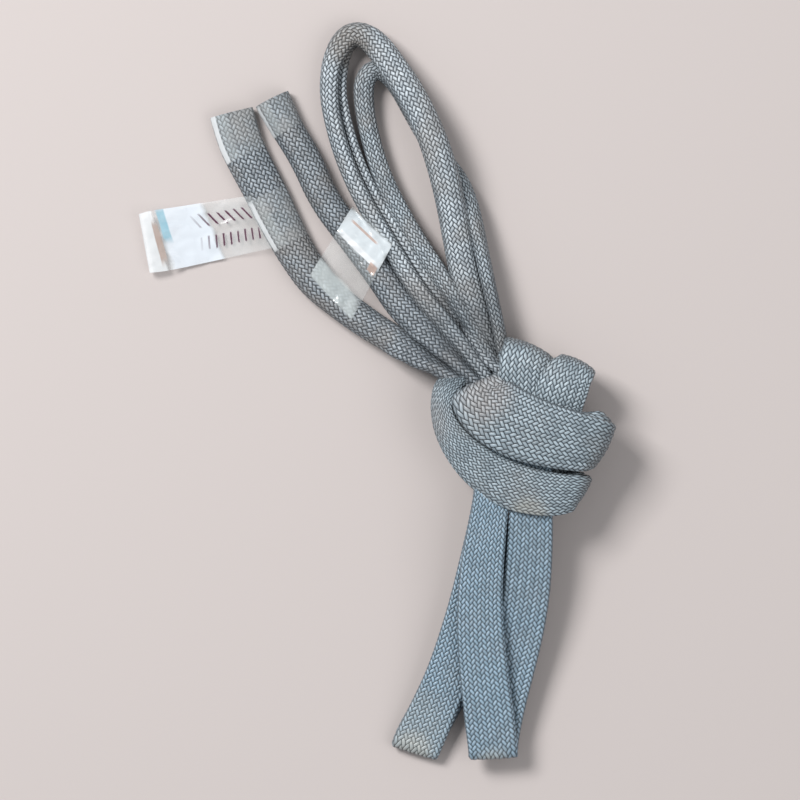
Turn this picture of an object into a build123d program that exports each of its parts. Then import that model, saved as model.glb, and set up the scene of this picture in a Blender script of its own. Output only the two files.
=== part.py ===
"""A long flat braided lace, doubled, folded and tied in one overhand knot.

Lengths are millimetres. The hank lies on the XY plane: the origin is under the middle of
the knot, +Y runs up towards the two loops, and +Z is away from the surface it lies on.
The lace is one length of hollow braid, so its nodes are stretches of it: where it stands
open and round it is a tube, and where the knot presses it flat it is a strap.
"""

import os
from math import cos, radians, sin, tan

from build123d import *

# The lace
LACE_PRESSED = 2.2  # both walls of the braid, pressed flat
LACE_OPEN = 9.0  # diameter where the braid stands open
SURFACE_GAP = 0.25  # air between neighbouring stretches
STACK = 6.9  # three pressed layers side by side in one band of the knot
LEG_GAP = 0.1  # air between the pressed legs where they lie on each other in the knot

# The tapes
TAPE_FILM = 0.3
TAPE_WIDTH = 19.0
TAPE_FIT = 0.25  # air between a tape sleeve and the lace inside it
END_TAPE_A_LENGTH = 16.0
END_TAPE_B_LENGTH = 13.0
LABEL_PLACE = 31.0  # along the lace, from end A to the near edge of the label tape
BAND_LENGTH = 29.0  # across both lace ends
BAND_ANGLE = -52.5  # direction of the two lace ends inside the band tape
BAND_CENTRE = (-56.1, 51.1)

# Levels of the four bands of the knot, from the surface up
LEVEL_STEP = STACK + SURFACE_GAP
BACK_LEVEL = STACK / 2
MIDDLE_LEVEL = BACK_LEVEL + LEVEL_STEP
COLUMN_LEVEL = MIDDLE_LEVEL + LEVEL_STEP
FRONT_LEVEL = COLUMN_LEVEL + LEVEL_STEP
KNOT_TOP = FRONT_LEVEL + STACK / 2

# Levels of the legs where they come out of the column, one on another
LEG_STEP = LACE_PRESSED + LEG_GAP
MIDDLE_LEG_LEVEL = COLUMN_LEVEL + LEG_STEP
LEFT_LEG_LEVEL = COLUMN_LEVEL
UNDER_LEG_LEVEL = COLUMN_LEVEL - LEG_STEP

# Folds of the pressed stretches, as seen from the side
BEND_SPARE = 0.01  # a turn's radius is this much under half the step between its levels
BACK_RUN = 0.2  # straight run past a turn at the back of the knot
DRAPE_BEND = 20.0  # radius of the gentle bends along a leg
FOLD_RUN = 5.0  # straight run past the fold at the foot of a bight
OUTLINE_SPARE = 5.0  # the plan outline is cut from a block this much taller than the knot
CUT_DEPTH = 225.0  # more than any pressed stretch is wide or long

os.makedirs("parts", exist_ok=True)


def corner_radii(points):
    """One radius for each corner: as large as the shorter of its two runs allows."""
    radii = []
    for before, here, after in zip(points, points[1:], points[2:]):
        run_in, run_out = Vector(here) - Vector(before), Vector(after) - Vector(here)
        turn = radians(run_in.get_angle(run_out))
        radii.append(0.45 * min(run_in.length, run_out.length) / tan(turn / 2))
    return radii


def along(angle):
    """A standing plane through the origin: its x runs at angle in plan, its y runs up."""
    across = radians(angle)
    return Plane(
        origin=(0, 0, 0),
        x_dir=(cos(across), sin(across), 0),
        z_dir=(sin(across), -cos(across), 0),
    )


def finish(builder, label):
    builder.part.label = label
    export_step(builder.part, f"parts/{label}.step")


def tube(label, points, outer=LACE_OPEN, inner=0.0, first=0.0, last=1.0):
    """The lace where it stands open, or with first and last a sleeve on part of that path."""
    radii = corner_radii(points)
    with BuildPart() as lace:
        with BuildLine() as route:
            FilletPolyline(*points, radius=radii)
        path = route.wire()
        if (first, last) != (0.0, 1.0):
            path = path.trim(first, last)
        with BuildSketch(Plane(origin=path @ 0, z_dir=path % 0)):
            Circle(outer / 2)
            if inner:
                Circle(inner / 2, mode=Mode.SUBTRACT)
        sweep(path=path)
    finish(lace, label)
    print(
        f"{label}: {path.length:.1f} mm along its middle, radii",
        [round(radius, 1) for radius in radii],
    )
    return path.length


def strap(outline, plane, profile, bends, thickness):
    """A pressed stretch: its outline in plan, and its folds as seen from the side."""
    with BuildPart() as piece:
        with BuildSketch(Plane.XY):
            with BuildLine():
                Polyline(*outline, close=True)
            make_face()
        extrude(amount=KNOT_TOP + OUTLINE_SPARE)
        with BuildSketch(plane):
            with BuildLine() as folds:
                FilletPolyline(*profile, radius=bends)
            trace(folds.wire(), line_width=thickness)
        extrude(amount=CUT_DEPTH, both=True, mode=Mode.INTERSECT)
    return piece


# The free stretches: the two ends and the two loops, open and lying on the surface.
END_A = [
    (-96, 106, 5.2),
    (-90, 89, 5.2),
    (-81, 72, 5.2),
    (-72, 57, 5.2),
    (-61, 43, 5.2),
    (-48.5, 30.5, 5.4),
    (-35, 20.5, 6.5),
]
END_B = [
    (-83.5, 110, 5.2),
    (-73.5, 91, 5.2),
    (-64, 74, 5.2),
    (-53.5, 58, 5.2),
    (-41.5, 43.5, 5.4),
    (-29, 30.5, 7),
]
OUTER_LOOP = [
    (-31, 48, 12),
    (-38, 57, 10.5),
    (-47, 72, 7),
    (-56, 91, 4.6),
    (-61, 108, 4.5),
    (-62.3, 118, 4.5),
    (-60.8, 127, 4.5),
    (-56.5, 132.5, 4.6),
    (-50, 133.8, 5.2),
    (-43.8, 129.8, 7.5),
    (-38, 121, 11.5),
    (-31, 109, 14.2),
    (-26.5, 94, 14.4),
    (-23, 76, 12.5),
    (-20.2, 61, 11.4),
    (-18.3, 51.5, 11.3),
]
INNER_LOOP = [
    (-25, 50.5, 4.5),
    (-29.5, 58, 4.5),
    (-36.5, 73, 4.5),
    (-44.5, 89, 4.5),
    (-50, 103, 4.5),
    (-51.5, 112, 4.5),
    (-50, 118.2, 4.5),
    (-44.6, 121, 4.5),
    (-39, 117.5, 4.5),
    (-35, 110.5, 4.5),
    (-29.5, 100.6, 4.5),
    (-23, 91.5, 4.5),
    (-17.5, 80, 4.5),
    (-13.8, 66, 4.5),
    (-10.3, 51, 4.5),
]
end_a_length = tube("lace_end_a", END_A)
end_b_length = tube("lace_end_b", END_B)
tube("lace_outer_loop", OUTER_LOOP)
tube("lace_inner_loop", INNER_LOOP)

# The neck: all six strands squeezed together where they come out of the knot.
NECK = [
    (-37.0, 16.6),
    (-32.3, 24.2),
    (-31.6, 27.0),
    (-25.2, 33.2),
    (-33.9, 45.2),
    (-28.8, 46.6),
    (-21.2, 50.6),
    (-14.9, 49.5),
    (-5.8, 51.0),
    (-2.6, 28.0),
    (-4.1, 13.4),
    (-14.2, 9.9),
    (-20.2, 9.4),
]
NECK_TOP = 15.0
with BuildPart() as neck:
    with BuildSketch(Plane.XY.offset(SURFACE_GAP)):
        with BuildLine():
            Polyline(*NECK, close=True)
        make_face()
    extrude(amount=NECK_TOP)
finish(neck, "lace_neck")

# The wraps: two bands side by side go round the left of the knot from its back, across
# its front, round its right and in behind the column.
WRAP_ANGLE = -20.0
WRAP_INNER_END = 2.0  # where both wraps end behind the column
UPPER_WRAP = [
    (-20, 5),
    (-14, 9.5),
    (-4.5, 13),
    (5, 4.5),
    (12, 2),
    (23, -1),
    (36, -3.5),
    (33, -12),
    (28, -19),
    (10.5, -17.5),
    (-3.5, -13),
    (-14, -5),
    (-17.5, -1),
]
LOWER_WRAP = [
    (-24.5, 12.5),
    (-20.6, 8.8),
    (-20.4, 4.8),
    (-17.9, -1.3),
    (-14.3, -5.4),
    (-3.7, -13.4),
    (10.4, -17.9),
    (28, -19.4),
    (22, -31),
    (7, -34),
    (-3.5, -31.5),
    (-12, -27.5),
    (-19, -19),
    (-24.5, -10.5),
    (-27, -2),
    (-26.5, 5),
]


def wrap(label, outline, left, right, inner_end):
    """A band that starts at the back, goes round both sides and ends in the middle."""
    turn_left = (FRONT_LEVEL - BACK_LEVEL) / 2
    turn_right = (FRONT_LEVEL - MIDDLE_LEVEL) / 2
    centre_left, centre_right = left + STACK / 2, right - STACK / 2
    profile = [
        (centre_left + turn_left + BACK_RUN, BACK_LEVEL),
        (centre_left, BACK_LEVEL),
        (centre_left, FRONT_LEVEL),
        (centre_right, FRONT_LEVEL),
        (centre_right, MIDDLE_LEVEL),
        (inner_end, MIDDLE_LEVEL),
    ]
    bends = [turn_left - BEND_SPARE] * 2 + [turn_right - BEND_SPARE] * 2
    finish(strap(outline, along(WRAP_ANGLE), profile, bends, STACK), label)


wrap("knot_upper_wrap", UPPER_WRAP, left=-20.5, right=34.8, inner_end=WRAP_INNER_END)
wrap("knot_lower_wrap", LOWER_WRAP, left=-25.2, right=31.2, inner_end=WRAP_INNER_END)

# The tops: two bands side by side come up behind the wraps, show above them, and fold
# over the upper right edge to the back.
TOP_ANGLE = 64.5
COLUMN_FOOT = -30.0  # where both bands start inside the knot
LEFT_TOP = [
    (-2, 28),
    (12.4, 20.7),
    (7, 4.5),
    (8, -15.2),
    (-7.5, -15.2),
    (-3.8, 12.5),
]
RIGHT_TOP = [
    (12.7, 20.6),
    (15.5, 21.2),
    (28, 15),
    (27, 5),
    (23, -15.2),
    (8.3, -15.2),
    (7.3, 4.5),
]


def top_fold(label, outline, reach):
    """A band that runs up the column and folds over, away from the front, to the back."""
    turn = (COLUMN_LEVEL - BACK_LEVEL) / 2
    centre = reach - STACK / 2
    profile = [
        (COLUMN_FOOT, COLUMN_LEVEL),
        (centre, COLUMN_LEVEL),
        (centre, BACK_LEVEL),
        (centre - turn - BACK_RUN, BACK_LEVEL),
    ]
    finish(strap(outline, along(TOP_ANGLE), profile, [turn - BEND_SPARE] * 2, STACK), label)


top_fold("knot_left_top", LEFT_TOP, reach=24.6)
top_fold("knot_right_top", RIGHT_TOP, reach=26.0)

# The back band: from the folded tops down to the left ends of the wraps, on the surface.
BACK_BAND = [
    (-0.6, 15.2),
    (26.5, 2.3),
    (14, -14),
    (-9, -28),
    (-18.4, -21.5),
    (-15, -11.5),
    (-10, -11.1),
]
with BuildPart() as back_band:
    with BuildSketch(Plane.XY):
        with BuildLine():
            Polyline(*BACK_BAND, close=True)
        make_face()
    extrude(amount=STACK)
finish(back_band, "knot_back_band")


def leg(outline, level, drape, fold_to=None):
    """One leg of a bight: level inside the knot, then draped to the surface.

    fold_to is the level it comes back at, round the bottom fold.
    """
    profile, bends = [(LEG_TOP, level), (COLUMN_END, level), *drape], []
    if fold_to is not None:
        bottom, foot_level = profile[-1]
        profile += [(bottom, fold_to), (bottom + FOLD_RUN, fold_to)]
        bends = [abs(foot_level - fold_to) / 2 - BEND_SPARE] * 2
    return strap(outline, Plane.YZ, profile, [DRAPE_BEND] * len(drape) + bends, LACE_PRESSED)


def bight(label, front, back):
    with BuildPart() as both:
        add(front.part)
        add(back.part)
    finish(both, label)


# The legs: three bights hang below the knot, each one a leg going down and a leg coming
# back, lying flat on each other at the fold and spreading apart towards the knot.
LEG_TOP = -15.5
COLUMN_END = -36.0  # where the legs leave the column and start to drape
MIDDLE_FRONT = [
    (-11.4, LEG_TOP),
    (-11.8, -34),
    (-17, -51),
    (-18, -66),
    (-17.5, -82),
    (-16.5, -100),
    (-14.2, -120.5),
    (1.7, -118.5),
    (0.5, -100),
    (-2, -82),
    (-2.5, -70),
    (-1, -51),
    (-0.5, -35),
    (-0.5, LEG_TOP),
]
MIDDLE_BACK = [
    (-0.2, LEG_TOP),
    (-0.2, -35),
    (-1.5, -56),
    (-4.5, -72),
    (-7.5, -87),
    (-12, -101),
    (-14.2, -118),
    (2, -116.5),
    (4, -101),
    (9, -87),
    (11.5, -72),
    (14, -51),
    (14, LEG_TOP),
]
bight(
    "leg_middle_bight",
    leg(MIDDLE_FRONT, MIDDLE_LEG_LEVEL, [(-60, 16.5), (-90, 12.4), (-119, 10.4)], 7.8),
    leg(MIDDLE_BACK, MIDDLE_LEG_LEVEL, [(-60, 14.0), (-90, 9.2), (-116, 7.8)]),
)
LEFT_FRONT = [
    (-11.4, LEG_TOP),
    (-11.8, -34),
    (-17.5, -51),
    (-22.5, -68),
    (-29.5, -89),
    (-35, -100),
    (-41, -115),
    (-26, -122),
    (-22.5, -110),
    (-18.8, -100),
    (-10.5, -82),
    (-6, -68),
    (-2, -51),
    (-0.5, -34),
    (-0.5, LEG_TOP),
]
LEFT_BACK = [
    (-0.2, LEG_TOP),
    (-0.2, -38),
    (-1.6, -51),
    (-12, -68),
    (-21, -82),
    (-28.5, -92),
    (-35, -100),
    (-41, -115),
    (-26, -122),
    (-22.5, -110),
    (-18.8, -100),
    (-12.5, -92),
    (-5, -82),
    (4, -68),
    (13.8, -51),
    (13.8, LEG_TOP),
]
bight(
    "leg_left_bight",
    leg(LEFT_FRONT, LEFT_LEG_LEVEL, [(-60, 11.8), (-88, 9.8), (-101, 6.8), (-116, 4.0)], 1.4),
    leg(LEFT_BACK, LEFT_LEG_LEVEL, [(-60, 9.3), (-88, 7.3), (-101, 4.0), (-114, 1.4)]),
)
UNDER_FRONT = [
    (-11.4, LEG_TOP),
    (-11.8, -34),
    (-16, -51),
    (-15.5, -100),
    (-15, -114),
    (0.5, -114),
    (0, -100),
    (-1.8, -51),
    (-0.5, -34),
    (-0.5, LEG_TOP),
]
UNDER_BACK = [
    (-0.2, LEG_TOP),
    (-0.2, -38),
    (-2.5, -51),
    (-9, -87),
    (-15, -110),
    (0.5, -110),
    (8, -87),
    (13.6, -51),
    (13.6, LEG_TOP),
]
bight(
    "leg_under_bight",
    leg(UNDER_FRONT, UNDER_LEG_LEVEL, [(-60, 6.4), (-85, 4.3), (-111, 4.0)], 1.4),
    leg(UNDER_BACK, UNDER_LEG_LEVEL, [(-60, 4.0), (-85, 1.6), (-109, 1.4)]),
)

# The tapes on the two cut ends keep the braid from fraying.
SLEEVE_INNER = LACE_OPEN + 2 * TAPE_FIT
SLEEVE_OUTER = SLEEVE_INNER + 2 * TAPE_FILM
CUT_SHARE = 0.001  # of an end's length, left bare at its cut
tube("end_tape_a", END_A, SLEEVE_OUTER, SLEEVE_INNER, CUT_SHARE, END_TAPE_A_LENGTH / end_a_length)
tube("end_tape_b", END_B, SLEEVE_OUTER, SLEEVE_INNER, CUT_SHARE, END_TAPE_B_LENGTH / end_b_length)

# The label tape goes round end A and is stuck to itself as a flag that lies to the left.
label_first = LABEL_PLACE / end_a_length
label_last = (LABEL_PLACE + TAPE_WIDTH) / end_a_length
tube("label_wrap", END_A, SLEEVE_OUTER, SLEEVE_INNER, label_first, label_last)

LABEL_ANGLE = 190.0
LABEL_ROOT_LEVEL = END_A[0][2]
LABEL_LYING = 0.5
LABEL_FLAG = [(-89.4, 75.5), (-79.5, 57.8), (-126, 50), (-130, 69.5)]
label_drape = [
    (66, LABEL_ROOT_LEVEL),
    (77, LABEL_ROOT_LEVEL - 0.3),
    (90, LABEL_LYING),
    (112, LABEL_LYING),
    (118, 2.6),
]
label_flag = strap(LABEL_FLAG, along(LABEL_ANGLE), label_drape, [6.0, 12.0, 3.0], TAPE_FILM)
finish(label_flag, "label_flag")

# The band tape holds the two ends side by side.
BAND_SLACK = 1.3  # the band is looser than a sleeve, because the two ends bend inside it
BAND_LEVEL = (LACE_OPEN + BAND_SLACK) / 2 + TAPE_FILM
band_direction = along(BAND_ANGLE).x_dir
band_plane = Plane(
    origin=(*BAND_CENTRE, BAND_LEVEL),
    x_dir=(-band_direction.Y, band_direction.X, 0),
    z_dir=band_direction,
)
with BuildPart() as band_tape:
    with BuildSketch(band_plane):
        SlotOverall(BAND_LENGTH, LACE_OPEN + BAND_SLACK + 2 * TAPE_FILM)
        offset(amount=-TAPE_FILM, mode=Mode.SUBTRACT)
    extrude(amount=TAPE_WIDTH / 2, both=True)
finish(band_tape, "band_tape")
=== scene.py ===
import math

import bpy
import numpy as np
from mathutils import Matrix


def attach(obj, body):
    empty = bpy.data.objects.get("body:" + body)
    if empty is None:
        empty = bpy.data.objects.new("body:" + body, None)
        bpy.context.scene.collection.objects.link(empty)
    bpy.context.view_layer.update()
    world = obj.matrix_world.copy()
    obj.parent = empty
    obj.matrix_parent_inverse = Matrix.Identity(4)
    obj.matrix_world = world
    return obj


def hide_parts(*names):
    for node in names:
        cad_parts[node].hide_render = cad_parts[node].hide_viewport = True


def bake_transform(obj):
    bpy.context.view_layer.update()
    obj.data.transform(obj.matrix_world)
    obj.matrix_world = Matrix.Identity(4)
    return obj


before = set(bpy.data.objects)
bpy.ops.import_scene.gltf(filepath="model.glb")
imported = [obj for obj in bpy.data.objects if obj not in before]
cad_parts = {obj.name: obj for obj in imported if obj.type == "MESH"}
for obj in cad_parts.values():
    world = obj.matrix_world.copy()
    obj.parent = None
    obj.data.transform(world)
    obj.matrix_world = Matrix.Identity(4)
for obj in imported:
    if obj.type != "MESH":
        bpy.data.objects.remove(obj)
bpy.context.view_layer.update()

# The lace's two ends. The lace is one length of hollow polyester braid, twelve columns of
# stitches round, plaited round nothing, so that it lies flat or swells open as it likes.
# Both ends run side by side from the neck of the knot to their cut, taped mouths.
COLUMNS = 24  # half columns of stitches round the braid
STITCH = 0.00190  # one stitch along the braid
GIRTH = 0.036  # round the braid
RELIEF = 0.00030  # how proud a stitch stands
ROUND = 120  # points round a ring of the braid
RING = 0.00042  # from one ring to the next
RIB = 0.00014  # how proud a whole column stands
LEAST_CURL = 0.01  # radians; a flat braid keeps this much, so its radius stays finite
CLEAR_OF_TABLE = 0.0005  # the lowest that a braid's ground lies
EASE = 20  # rings over which a braid is lifted clear of the table
LIP, THROAT = 0.86, 0.80  # the mouth's own size at its turned lip, and deeper in
LIP_HEIGHT = 0.0002
MOUTH_DEPTH = 0.004
END_A = [
    (-0.0974, 0.1056, 0.0034),
    (-0.0952, 0.0970, 0.0034),
    (-0.0912, 0.0884, 0.0035),
    (-0.0860, 0.0788, 0.0036),
    (-0.0808, 0.0680, 0.0037),
    (-0.0740, 0.0554, 0.0039),
    (-0.0654, 0.0438, 0.0043),
    (-0.0522, 0.0338, 0.0048),
    (-0.0378, 0.0250, 0.0060),
    (-0.0262, 0.0174, 0.0080),
    (-0.0166, 0.0112, 0.0090),
    (-0.0050, 0.0020, 0.0100),
]
END_B = [
    (-0.0832, 0.1104, 0.0038),
    (-0.0788, 0.1015, 0.0038),
    (-0.0712, 0.0894, 0.0039),
    (-0.0652, 0.0756, 0.0041),
    (-0.0560, 0.0632, 0.0043),
    (-0.0468, 0.0512, 0.0046),
    (-0.0378, 0.0378, 0.0056),
    (-0.0270, 0.0280, 0.0080),
    (-0.0190, 0.0190, 0.0090),
    (-0.0124, 0.0124, 0.0092),
    (-0.0020, 0.0020, 0.0100),
]


def smooth_line(points):
    """The smooth line that a limp braid takes through the points of its route."""
    curve = bpy.data.curves.new("route", "CURVE")
    curve.dimensions = "3D"
    spline = curve.splines.new("NURBS")
    spline.points.add(len(points) - 1)
    for corner, place in zip(spline.points, points):
        corner.co = (*place, 1.0)
    spline.order_u = 3
    spline.use_endpoint_u = True
    spline.resolution_u = 32
    carrier = bpy.data.objects.new("route", curve)
    line = bpy.data.meshes.new_from_object(carrier)
    read = np.array([vertex.co[:] for vertex in line.vertices])
    bpy.data.meshes.remove(line)
    bpy.data.objects.remove(carrier)
    bpy.data.curves.remove(curve)
    return read


def spaced(lines, step):
    """The same lines, cut at even steps along their mean."""
    middle = sum(lines) / len(lines)
    run = np.r_[0, np.cumsum(np.linalg.norm(np.diff(middle, axis=0), axis=1))]
    even = np.linspace(0, run[-1], int(round(run[-1] / step)) + 1)
    return [np.stack([np.interp(even, run, line[:, k]) for k in range(3)], 1) for line in lines]


def unit(vectors):
    return vectors / np.maximum(np.linalg.norm(vectors, axis=1, keepdims=True), 1e-12)


def eased(table, column, places):
    """One column of a table of stations, eased from each station to the next."""
    at = np.array([row[0] for row in table])
    value = np.array([row[column] for row in table], float)
    left = np.clip(np.searchsorted(at, places, side="right") - 1, 0, len(at) - 2)
    share = np.clip((places - at[left]) / (at[left + 1] - at[left]), 0, 1)
    share = share * share * (3 - 2 * share)
    return value[left] * (1 - share) + value[left + 1] * share


def outlines(flat, thick_left, thick_right, curl, count):
    """Each ring of a flattened braid: its points across and up, and the way out from it.

    flat is the width between the middles of its two rolled edges. A curl folds it lengthwise.
    """
    level, turn = 48, 20  # points on half a flat side, and on a rolled edge
    across = np.r_[
        np.linspace(0, 0.5, level),
        np.full(turn, 0.5),
        np.linspace(0.5, -0.5, 2 * level),
        np.full(turn, -0.5),
        np.linspace(-0.5, 0, level),
    ]
    arc = np.linspace(-math.pi / 2, math.pi / 2, turn)
    none = np.zeros(level)
    beyond = np.r_[none, np.cos(arc), none, none, -np.cos(arc), none]
    side = np.r_[none - 1, np.sin(arc), none + 1, none + 1, -np.sin(arc), none - 1]
    half_left, half_right = thick_left[:, None] / 2, thick_right[:, None] / 2
    half = half_right + (half_left - half_right) * (across + 0.5)
    flat, curl = flat[:, None], curl[:, None]
    curl = np.where(np.abs(curl) < LEAST_CURL, LEAST_CURL, curl)
    angle = curl * across
    radius = flat / curl
    out, up = beyond * half, side * half
    x = radius * np.sin(angle) + out * np.cos(angle) - up * np.sin(angle)
    z = radius * (1 - np.cos(angle)) + out * np.sin(angle) + up * np.cos(angle)
    x -= (x.max(1, keepdims=True) + x.min(1, keepdims=True)) / 2
    z -= (z.max(1, keepdims=True) + z.min(1, keepdims=True)) / 2
    points = np.empty((len(x), count, 2))
    for ring in range(len(x)):
        walk = np.r_[0, np.cumsum(np.hypot(np.diff(x[ring]), np.diff(z[ring])))]
        even = np.linspace(0, walk[-1], count, endpoint=False)
        points[ring, :, 0] = np.interp(even, walk, x[ring])
        points[ring, :, 1] = np.interp(even, walk, z[ring])
    ahead = np.roll(points, -1, axis=1) - np.roll(points, 1, axis=1)
    outward = np.stack([ahead[..., 1], -ahead[..., 0]], -1)
    return points, outward / np.maximum(np.linalg.norm(outward, axis=2, keepdims=True), 1e-9)


def stitch_height(columns, stitches):
    """Height of the plait, 0 to 1: yarns cross at a slant, each over two and under two."""
    one, other = stitches + columns, stitches - columns
    step = (np.floor(one) - np.floor(other)) % 4
    over = step < 2
    part_one, part_other = one - np.floor(one), other - np.floor(other)
    along = np.where(over, part_one + step, part_other + 3 - step) / 2
    across = np.where(over, part_other, part_one)
    return (1 - np.abs(2 * along - 1) ** 4) * (1 - np.abs(2 * across - 1) ** 4)


class Braid:
    """A stretch of the braid, gathered ring by ring and made into one mesh."""

    def __init__(self, name, columns=COLUMNS):
        self.name, self.half_columns = name, columns
        self.points, self.faces, self.braid_map, self.bake_map = [], [], [], []
        self.rows = 0

    def skin(self, middle, left, out, rings, count, start=0.0):
        """Lays rings of braid along a line. left and out are each ring's own two directions."""
        points, outward = rings
        steps = np.linalg.norm(np.diff(middle, axis=0), axis=1)
        run = start + np.r_[0, np.cumsum(steps)]
        columns = np.arange(count) * self.half_columns / count
        stitches = run / STITCH
        high = stitch_height(columns[None, :], stitches[:, None]) * RELIEF
        high += RIB * (np.cos((columns - 0.75) * math.pi / 2) ** 2)[None, :]
        points = points + outward * high[..., None]
        shell = (
            middle[:, None, :]
            + left[:, None, :] * points[..., :1]
            + out[:, None, :] * points[..., 1:]
        )
        first = sum(len(block) for block in self.points)
        self.points.append(shell.reshape(-1, 3))
        turns = len(middle)
        rows = max(1, round(math.sqrt(run[-1] - start) / math.sqrt(GIRTH)))
        per_row = math.ceil((turns - 1) / rows)
        ring, spot = np.meshgrid(np.arange(turns - 1), np.arange(count), indexing="ij")
        ring, spot = ring.ravel(), spot.ravel()
        beside = (spot + 1) % count
        corners = np.stack(
            [
                ring * count + spot,
                ring * count + beside,
                (ring + 1) * count + beside,
                (ring + 1) * count + spot,
            ],
            1,
        )
        self.faces.append(corners + first)
        round_it = np.stack([spot, spot + 1, spot + 1, spot], 1)
        along_it = np.stack([ring, ring, ring + 1, ring + 1], 1)
        self.braid_map.append(
            np.stack([round_it * self.half_columns / count, stitches[along_it]], -1).reshape(-1, 2)
        )
        row = (ring // per_row)[:, None]
        self.bake_map.append(
            np.stack(
                [
                    0.005 + 0.99 * (along_it - row * per_row) / per_row,
                    self.rows + row + 0.01 + 0.98 * round_it / count,
                ],
                -1,
            ).reshape(-1, 2)
        )
        self.rows += rows
        return shell

    def mouth(self, shell, depth, inward):
        """Turns a cut end in on itself, so that the braid shows its wall and its hollow."""
        count = shell.shape[1]
        rim, centre = shell, shell.mean(0)
        first = sum(len(block) for block in self.points)
        lip = centre + (rim - centre) * LIP - inward * LIP_HEIGHT
        deep = centre + (rim - centre) * THROAT + inward * depth
        self.points.append(np.concatenate([rim, lip, deep, centre[None] + inward * depth]))
        spot = np.arange(count)
        beside = (spot + 1) % count
        for low, high in ((0, count), (count, 2 * count)):
            quad = np.stack([low + spot, high + spot, high + beside, low + beside], 1)
            self._add_plain(quad + first)
        hub = np.full(count, 3 * count)
        self._add_plain(np.stack([2 * count + spot, hub, 2 * count + beside], 1) + first)

    def _add_plain(self, faces):
        """Adds faces that carry no plait, each with a small patch of its own in both maps."""
        self.faces.append(faces)
        sides = faces.shape[1]
        spots = np.arange(len(faces))
        flat = np.zeros((len(faces), sides, 2))
        flat[..., 0] = spots[:, None] * self.half_columns / len(faces)
        flat[:, 1:3, 0] += self.half_columns / len(faces) * 0.9
        self.braid_map.append(flat.reshape(-1, 2))
        bake = np.zeros((len(faces), sides, 2))
        bake[..., 0] = 0.005 + 0.99 * (spots[:, None] + 0.05) / len(faces)
        bake[:, 1:3, 0] += 0.9 / len(faces)
        bake[..., 1] = self.rows + 0.02
        bake[:, 2:, 1] += 0.06
        self.bake_map.append(bake.reshape(-1, 2))
        self.rows += 0.1

    def build(self, material):
        mesh = bpy.data.meshes.new(self.name)
        points = np.concatenate(self.points)
        faces = [face for block in self.faces for face in block.tolist()]
        mesh.from_pydata(points.tolist(), [], faces)
        for name, blocks in (("Braid", self.braid_map), ("OFBake", self.bake_map)):
            layer = mesh.uv_layers.new(name=name)
            places = np.concatenate(blocks)
            if name == "OFBake":
                places[:, 1] /= math.ceil(self.rows)
            layer.data.foreach_set("uv", places.ravel())
        mesh.polygons.foreach_set("use_smooth", np.ones(len(mesh.polygons), bool))
        mesh.materials.append(material)
        mesh.update()
        piece = bpy.data.objects.new(self.name, mesh)
        bpy.context.scene.collection.objects.link(piece)
        return piece


def tube_frame(middle, roll):
    """The two directions of each ring of a lying braid, rolled about its own line."""
    ahead = unit(np.gradient(middle, axis=0))
    level = unit(np.cross(np.array([0.0, 0.0, 1.0]), ahead))
    upright = np.cross(ahead, level)
    turn_left, turn_up = np.cos(roll)[:, None], np.sin(roll)[:, None]
    return level * turn_left + upright * turn_up, upright * turn_left - level * turn_up


def lay_cord(name, route, stations, material, girth=GIRTH, mouth=False):
    """Lays one open stretch of the braid along its route.

    Each station says how far along it is, the thickness of its left and its right edge in
    millimetres, and how far it is curled lengthwise and rolled over, in degrees. Where the
    braid is pulled, it is drawn in and its girth is less.
    """
    (middle,) = spaced([smooth_line(route)], RING)
    places = np.linspace(0, 1, len(middle))
    thick_left = eased(stations, 1, places) / 1000
    thick_right = eased(stations, 2, places) / 1000
    curl, roll = (np.radians(eased(stations, column, places)) for column in (3, 4))
    flat = (girth - math.pi * (thick_left + thick_right) / 2) / 2
    left, out = tube_frame(middle, roll)
    rings = outlines(flat, thick_left, thick_right, curl, ROUND)
    lowest = (left[:, None, 2:] * rings[0][..., :1] + out[:, None, 2:] * rings[0][..., 1:]).min(1)
    short = np.maximum(CLEAR_OF_TABLE - (middle[:, 2] + lowest[:, 0]), 0)
    reach = np.hanning(2 * EASE + 1)
    middle[:, 2] += np.convolve(np.pad(short, EASE, "edge"), reach / reach.sum(), "valid")
    braid = Braid(name)
    shell = braid.skin(middle, left, out, rings, ROUND)
    if mouth:
        braid.mouth(shell[0], MOUTH_DEPTH, unit(middle[1:2] - middle[:1])[0])
    return braid.build(material), middle


class Wire:
    """A socket of a material. A sum written with it becomes Math nodes."""

    def __init__(self, stuff, socket):
        self.stuff, self.socket = stuff, socket

    def maths(self, operation, *others):
        settings = {"operation": operation}
        return self.stuff.add("ShaderNodeMath", settings, dict(enumerate((self, *others))))

    def __add__(self, other):
        return self.maths("ADD", other)

    def __mul__(self, other):
        return self.maths("MULTIPLY", other)

    def __sub__(self, other):
        return self.maths("SUBTRACT", other)

    def __rsub__(self, other):
        return self.maths("MULTIPLY", -1.0) + other

    def __truediv__(self, other):
        return self.maths("DIVIDE", other)

    def __pow__(self, other):
        return self.maths("POWER", other)

    __radd__, __rmul__ = __add__, __mul__

    def clear_of(self, low, high):
        """0 below low, 1 above high, and smooth between them."""
        settings = {"interpolation_type": "SMOOTHSTEP"}
        sockets = {"Value": self, "From Min": low, "From Max": high}
        return self.stuff.add("ShaderNodeMapRange", settings, sockets)


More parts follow.
